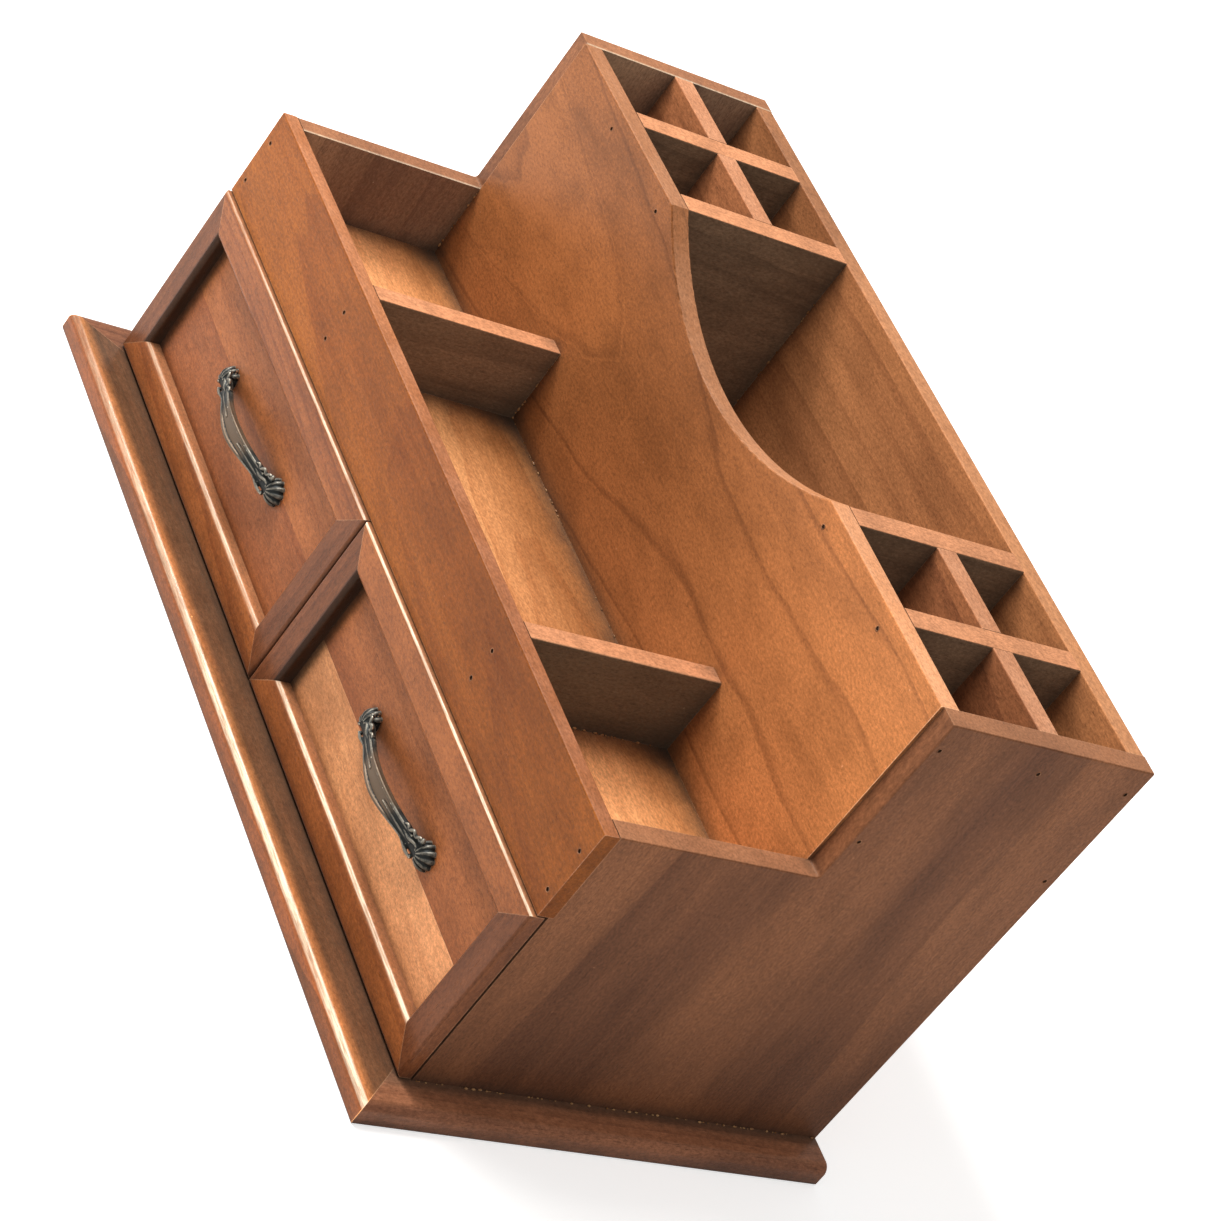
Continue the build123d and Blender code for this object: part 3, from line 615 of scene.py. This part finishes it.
chosenPith = {
    # the big pointed figure on the left half of the scooped panel
    "scooped_panel": {"across": 0.166, "depth": 0.0746, "slant": 0.095, "level": 0.03,
                      "wander": 0.02, "firstYear": 176, "shift": (0, 0, 0)},
}


def dress(node, material):
    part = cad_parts[node]
    part.data.materials.clear()
    part.data.materials.append(material)
    for face in part.data.polygons:
        face.material_index = 0


for number, (node, (lookName, grain)) in enumerate(sorted(boardLooks.items())):
    luck = random.Random(100 + number)
    pith = chosenPith.get(node) or {
        "across": luck.uniform(-0.03, 0.03),
        "depth": luck.uniform(0.03, 0.09),
        "slant": luck.choice((-1, 1)) * luck.uniform(0.02, 0.09),
        "level": luck.uniform(0.0, 0.4),
        "wander": 0.012,
        "firstYear": luck.randrange(500),
        "shift": (luck.uniform(-0.3, 0.3), 0, 0),
    }
    low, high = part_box(node)
    if node not in chosenPith:
        centre = (low + high) / 2
        order = grainOrders[grain]
        pith["shift"] = (pith["shift"][0], -centre["XYZ".index(order[1])], -centre["XYZ".index(order[2])])
    dress(node, woodMaterial(node + "_wood", woodLooks[lookName], grainOrders[grain], pith))
print("boards are finished")


metalLooks = {
    "pull": {"worn": (216, 206, 186), "film": (22, 25, 23), "warm": (96, 78, 60),
             "low": 0.51, "high": 0.57, "rough": 0.27},
    "steel": {"worn": (120, 112, 104), "film": (38, 32, 28), "warm": (96, 74, 58),
              "low": 0.45, "high": 0.6, "rough": 0.5},
}


def metalMaterial(name, look, warmReach):
    # warmReach: how far from the middle, along X, the warmer metal shows
    material = bpy.data.materials.new(name)
    material.use_nodes = True
    tree = material.node_tree
    shader = tree.nodes["Principled BSDF"]
    place = addNode(tree, "TexCoord").outputs["Object"]
    film = placeGroup(tree, tarnish, {"Place": place, "Low": look["low"], "High": look["high"]})
    along = calc(tree, "ABSOLUTE", addNode(tree, "SeparateXYZ", {0: place}).outputs["X"])
    warmth = remap(tree, along, 0.6 * warmReach, warmReach, 1.0, 0.0)
    colour = mixColour(tree, film["Worn"], paint(*look["film"]), paint(*look["worn"]))
    colour = mixColour(tree, calc(tree, "MULTIPLY", film["Open"], warmth), colour, paint(*look["warm"]))
    tree.links.new(colour, shader.inputs["Base Color"])
    tree.links.new(remap(tree, film["Worn"], 0.0, 1.0, 0.55, 1.0), shader.inputs["Metallic"])
    rough = calc(tree, "ADD", calc(tree, "MULTIPLY", film["Grit"], 0.16), look["rough"])
    rough = calc(tree, "ADD", rough, remap(tree, film["Worn"], 0.0, 1.0, 0.12, -0.06))
    tree.links.new(rough, shader.inputs["Roughness"])
    bump = addNode(tree, "Bump", {"Strength": 0.25, "Distance": 0.0001, "Height": film["Grit"]})
    tree.links.new(bump.outputs["Normal"], shader.inputs["Normal"])
    return material


steel = metalMaterial("brad_steel_finish", metalLooks["steel"], 0.001)
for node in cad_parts:
    if node.endswith("brads") or node.endswith("pull_screws"):
        dress(node, steel)


pullShape = {
    # millimetres: x along the pull, z up, h out from the drawer's face
    "spacing": 64.0,
    "rise": 10.2,
    "endRise": 3.2,
    "fullness": 0.7,
    "thickness": 3.3,
    "middleWidth": 8.6,
    "neckWidth": 6.6,
    "neckX": 22.0,
    "barX": 34.0,
    "dish": 0.95,
    "dishX": 15.0,
    "rimX": 27.0,
    "leafX": 21.5,
    "leafLength": 10.5,
    "shellRadius": 6.0,
    "shellOffset": 1.8,
    "bead": 1.25,
    "voxel": 0.24,
}


def pullRise(x):
    share = (1 + math.cos(2 * math.pi * x / pullShape["spacing"])) / 2
    return pullShape["endRise"] + (pullShape["rise"] - pullShape["endRise"]) * share ** pullShape["fullness"]


def pullHalfWidth(x):
    share = (1 + math.cos(math.pi * min(abs(x) / pullShape["neckX"], 1))) / 2
    return (pullShape["neckWidth"] + (pullShape["middleWidth"] - pullShape["neckWidth"]) * share) / 2


def addTube(bm, points, radii, flat=1.0, sides=12):
    # a closed tube through the points; flat squeezes it in h
    rings = []
    for index, point in enumerate(points):
        before = points[max(index - 1, 0)]
        after = points[min(index + 1, len(points) - 1)]
        along = (after - before).normalized()
        outward = Vector((0, -1, 0))
        wide = along.cross(outward).normalized()
        outward = wide.cross(along).normalized()
        ring = []
        for step in range(sides):
            angle = 2 * math.pi * step / sides
            offset = wide * math.cos(angle) * radii[index] + outward * math.sin(angle) * radii[index] * flat
            ring.append(bm.verts.new(point + offset))
        rings.append(ring)
    for first, second in zip(rings, rings[1:]):
        for step in range(sides):
            other = (step + 1) % sides
            bm.faces.new((first[step], first[other], second[other], second[step]))
    bm.faces.new(list(reversed(rings[0])))
    bm.faces.new(rings[-1])


def addBall(bm, centre, size):
    matrix = Matrix.Translation(centre) @ Matrix.Diagonal((*size, 1))
    bmesh.ops.create_icosphere(bm, subdivisions=3, radius=1.0, matrix=matrix)


def onPull(x, z, h):
    return Vector((x, -h, z)) * mm


def pullBar(bm):
    reach = pullShape["barX"]
    stations = [-reach + 2 * reach * n / 96 for n in range(97)]
    sides = 28
    rings = []
    for x in stations:
        ring = []
        for step in range(sides):
            angle = 2 * math.pi * step / sides
            across = math.cos(angle)
            up = math.sin(angle)
            hollow = max(0.0, 1 - (x / pullShape["dishX"]) ** 2) if up > 0 else 0
            dish = pullShape["dish"] * (1 - across * across) * hollow
            thick = pullShape["thickness"] / 2
            h = pullRise(x) + thick * math.copysign(abs(up) ** 0.7, up) - dish
            ring.append(bm.verts.new(onPull(x, pullHalfWidth(x) * across, h)))
        rings.append(ring)
    for first, second in zip(rings, rings[1:]):
        for step in range(sides):
            other = (step + 1) % sides
            bm.faces.new((first[step], first[other], second[other], second[step]))
    bm.faces.new(list(reversed(rings[0])))
    bm.faces.new(rings[-1])


def pullRims(bm):
    # a raised rim along each side of the bar, and a rib that grows towards each end
    reach = pullShape["rimX"]
    for sign in (-1, 1):
        points, radii = [], []
        for n in range(61):
            x = -reach + 2 * reach * n / 60
            inset = 0.65 + 0.5 * (abs(x) / reach) ** 2
            points.append(onPull(x, sign * (pullHalfWidth(x) - inset), pullRise(x) + 1.25))
            radii.append((0.78 - 0.2 * (abs(x) / reach)) * mm)
        addTube(bm, points, radii)
        points, radii = [], []
        for n in range(31):
            x = sign * (8 + 20 * n / 30)
            points.append(onPull(x, 0.25 * math.sin(n / 5), pullRise(x) + 1.35))
            radii.append((0.25 + 0.5 * math.sin(math.pi * min(n / 22, 1) / 2)) * mm)
        addTube(bm, points, radii)


def pullShell(bm, sign):
    # a rounded knob with ribs that fan from a hub over its outer and upper side
    radius = pullShape["shellRadius"]
    core = radius - 1.15
    centreX = sign * (pullShape["spacing"] / 2 + pullShape["shellOffset"])
    addBall(bm, onPull(centreX, 0, 0.3), (core * mm, 0.97 * core * mm, core * mm))
    for rib in range(6):
        around = math.radians(-48 + 34 * rib)
        points, radii = [], []
        for n in range(17):
            t = n / 16
            over = math.radians(14 + 84 * t)
            x = centreX + sign * (core * math.sin(over) * math.cos(around) - 1.0 * (1 - t))
            z = core * math.sin(over) * math.sin(around) - 0.9 * (1 - t)
            h = 0.3 + core * 0.97 * math.cos(over)
            points.append(onPull(x, z, h))
            radii.append((0.5 + 0.75 * t ** 0.7) * mm)
        addTube(bm, points, radii)
        addBall(bm, points[-1], (pullShape["bead"] * mm,) * 3)


def pullLeaves(bm, sign):
    # wavy scroll along the upper side of the neck, smooth leaf along the lower, a bead at the tip of each
    for z0, z1, wave, turns in ((2.9, 5.0, 0.55, 2.6), (-2.6, -4.0, 0.35, 1.0), (0.4, 1.4, 0.3, 1.6)):
        points, radii = [], []
        for n in range(33):
            t = n / 32
            x = pullShape["leafX"] + pullShape["leafLength"] * t
            z = z0 + (z1 - z0) * t + wave * math.sin(2 * math.pi * turns * t)
            h = pullRise(min(x, 30.5)) + 1.25 + 0.9 * t * math.sin(math.pi * t)
            points.append(onPull(sign * x, z, h))
            radii.append((0.42 + 0.34 * math.sin(math.pi * t)) * mm)
        addTube(bm, points, radii)
    for x, z, size in ((22.0, 3.1, 0.75), (31.6, 5.0, 1.1), (31.0, -4.1, 0.95)):
        addBall(bm, onPull(sign * x, z, pullRise(min(x, 30.5)) + 0.8), (size * mm,) * 3)


def makePull(side):
    name = side + "_cast_pull"
    bm = bmesh.new()
    pullBar(bm)
    pullRims(bm)
    for sign in (-1, 1):
        pullShell(bm, sign)
        pullLeaves(bm, sign)
    bmesh.ops.recalc_face_normals(bm, faces=bm.faces)
    mesh = bpy.data.meshes.new(name)
    bm.to_mesh(mesh)
    bm.free()
    pull = bpy.data.objects.new(name, mesh)
    scene.collection.objects.link(pull)
    remesh = pull.modifiers.new("melt", "REMESH")
    remesh.mode = "VOXEL"
    remesh.voxel_size = pullShape["voxel"] * mm
    smooth = pull.modifiers.new("soften", "SMOOTH")
    smooth.factor = 0.5
    smooth.iterations = 2
    evaluated = pull.evaluated_get(bpy.context.evaluated_depsgraph_get())
    cast = bpy.data.meshes.new_from_object(evaluated)
    pull.modifiers.clear()
    bm = bmesh.new()
    bm.from_mesh(cast)
    everything = bm.verts[:] + bm.edges[:] + bm.faces[:]
    cut = bmesh.ops.bisect_plane(bm, geom=everything, plane_co=(0, -0.02 * mm, 0), plane_no=(0, 1, 0),
                                 clear_outer=True)
    rim = [part for part in cut["geom_cut"] if isinstance(part, bmesh.types.BMEdge)]
    bmesh.ops.holes_fill(bm, edges=rim)
    for face in bm.faces:
        face.smooth = True
    bm.to_mesh(mesh)
    bm.free()
    low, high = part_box(side + "_drawer_pull")
    pull.location = ((low.x + high.x) / 2, high.y, (low.z + high.z) / 2)
    mesh.materials.append(metalMaterial(name + "_finish", metalLooks["pull"], 0.017))
    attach(pull, side + "_drawer")
    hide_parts(side + "_drawer_pull")


for side in ("left", "right"):
    makePull(side)
print("pulls are cast")


# torn wood round the brad holes, in mm
rimShape = {"inner": 0.85, "outer": 1.4, "height": 0.07, "sides": 22}


def bradHeads(node):
    # middle of each brad in the node, from its loose parts
    bm = bmesh.new()
    bm.from_mesh(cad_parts[node].data)
    bmesh.ops.remove_doubles(bm, verts=bm.verts, dist=0.00001)
    left = set(bm.verts)
    found = []
    while left:
        queue = [left.pop()]
        island = list(queue)
        while queue:
            vert = queue.pop()
            for edge in vert.link_edges:
                other = edge.other_vert(vert)
                if other in left:
                    left.remove(other)
                    queue.append(other)
                    island.append(other)
        low = Vector([min(v.co[i] for v in island) for i in range(3)])
        high = Vector([max(v.co[i] for v in island) for i in range(3)])
        found.append((low, high))
    bm.free()
    return sorted(found, key=lambda pair: tuple(pair[0]))


def makeRims(name, node, outward, level, material):
    # outward: axis and sign of the face; level: where that face is
    luck = random.Random(name)
    axis, sign = outward
    bm = bmesh.new()
    for low, high in bradHeads(node):
        centre = (low + high) / 2
        centre[axis] = level
        wide = Vector((0, 0, 1))
        other = Vector((0, 1, 0)) if axis == 0 else Vector((1, 0, 0))
        out = Vector([sign if i == axis else 0 for i in range(3)])
        phase = luck.uniform(0, 6.28)
        loops = []
        for share, lift in ((0.0, 0.25), (0.35, 1.0), (1.0, -0.1)):
            loop = []
            for step in range(rimShape["sides"]):
                angle = 2 * math.pi * step / rimShape["sides"]
                ragged = 0.7 + 0.3 * math.sin(angle + phase) + luck.uniform(-0.1, 0.1)
                spread = (rimShape["outer"] - rimShape["inner"]) * share * ragged
                radius = (rimShape["inner"] + spread) * mm
                height = rimShape["height"] * lift * (0.75 + luck.uniform(-0.2, 0.25)) * mm
                spot = centre + other * math.cos(angle) * radius + wide * math.sin(angle) * radius
                loop.append(bm.verts.new(spot + out * height))
            loops.append(loop)
        for first, second in zip(loops, loops[1:]):
            for step in range(rimShape["sides"]):
                following = (step + 1) % rimShape["sides"]
                bm.faces.new((first[step], first[following], second[following], second[step]))
    bmesh.ops.recalc_face_normals(bm, faces=bm.faces)
    mesh = bpy.data.meshes.new(name)
    bm.to_mesh(mesh)
    bm.free()
    rims = bpy.data.objects.new(name, mesh)
    scene.collection.objects.link(rims)
    mesh.materials.append(material)
    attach(rims, "carcass")


rimPith = {"across": 0.01, "depth": 0.05, "slant": 0.04, "level": 1.0, "wander": 0.01, "firstYear": 0,
           "shift": (0.1, 0, 0)}
rimLook = dict(woodLooks["fascia"], light=(150, 98, 64), dark=(96, 58, 38), rough=0.62, coat=0.0)
rimMaterial = woodMaterial("torn_wood", rimLook, grainOrders["wide"], rimPith)
makeRims("fascia_hole_rims", "fascia_brads", (1, -1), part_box("fascia_board")[0].y, rimMaterial)
makeRims("panel_hole_rims", "scooped_panel_brads", (1, -1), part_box("scooped_panel")[0].y, rimMaterial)
makeRims("left_hole_rims", "left_side_brads", (0, -1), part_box("left_side_panel")[0].x, rimMaterial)
makeRims("right_hole_rims", "right_side_brads", (0, 1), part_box("right_side_panel")[1].x, rimMaterial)
print("brad holes are rimmed")


# dried glue squeezed out of the joints
glueSetup = {"runs": (
    # start and end of each run in mm, and the share of it that is covered
    ((200.4, -84.0, 10.3), (200.4, 110.0, 10.3), 0.55),
    ((-82.0, 7.5, 106.7), (-20.0, 7.5, 106.7), 0.4),
    ((20.0, 7.5, 106.7), (88.0, 7.5, 106.7), 0.2),
    ((-84.3, 7.5, 107.0), (-84.3, 7.5, 140.0), 0.5),
    ((93.6, 7.5, 107.0), (93.6, 7.5, 141.0), 0.5),
    ((103.2, -80.0, 106.7), (103.2, 5.0, 106.7), 0.3),
    ((-85.6, 102.9, 112.0), (-85.6, 102.9, 205.0), 0.4),
    ((85.6, 102.9, 112.0), (85.6, 102.9, 205.0), 0.3),
    ((-190.7, 7.5, 108.0), (-190.7, 7.5, 142.0), 0.4)),
    "bead": (0.2, 0.45), "amber": (120, 78, 44), "pale": (170, 128, 84)}


def glueMaterial():
    material = bpy.data.materials.new("dried_glue")
    material.use_nodes = True
    tree = material.node_tree
    shader = tree.nodes["Principled BSDF"]
    place = addNode(tree, "TexCoord").outputs["Object"]
    cloud = remap(tree, speckle(tree, place, 240, 3.0, 0.6), 0.35, 0.65)
    colour = mixColour(tree, cloud, paint(*glueSetup["amber"]), paint(*glueSetup["pale"]))
    tree.links.new(colour, shader.inputs["Base Color"])
    tree.links.new(remap(tree, cloud, 0.0, 1.0, 0.24, 0.5), shader.inputs["Roughness"])
    shader.inputs["Specular IOR Level"].default_value = 0.3
    bump = addNode(tree, "Bump", {"Strength": 0.4, "Distance": 0.0002,
                                  "Height": speckle(tree, place, 1400, 2.0)})
    tree.links.new(bump.outputs["Normal"], shader.inputs["Normal"])
    return material


def makeGlue():
    luck = random.Random(7)
    bm = bmesh.new()
    for start, end, share in glueSetup["runs"]:
        start, end = Vector(start), Vector(end)
        length = (end - start).length
        travelled = 0.0
        while travelled < length:
            size = luck.uniform(*glueSetup["bead"])
            if luck.random() < share:
                reach = luck.uniform(1.2, 2.6)
                along = (end - start) / length
                stretch = Vector([size + abs(along[i]) * size * (reach - 1) for i in range(3)]) * mm
                centre = start + along * travelled
                centre += Vector([luck.uniform(-0.12, 0.12) for i in range(3)])
                addBall(bm, centre * mm, stretch)
            travelled += luck.uniform(1.0, 3.4)
    for vert in bm.verts:
        vert.co += Vector(noise.noise_vector(vert.co * 1400)) * 0.12 * mm
    for face in bm.faces:
        face.smooth = True
    mesh = bpy.data.meshes.new("dried_glue")
    bm.to_mesh(mesh)
    bm.free()
    glue = bpy.data.objects.new("dried_glue", mesh)
    scene.collection.objects.link(glue)
    mesh.materials.append(glueMaterial())
    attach(glue, "carcass")


makeGlue()
print("glue has dried")
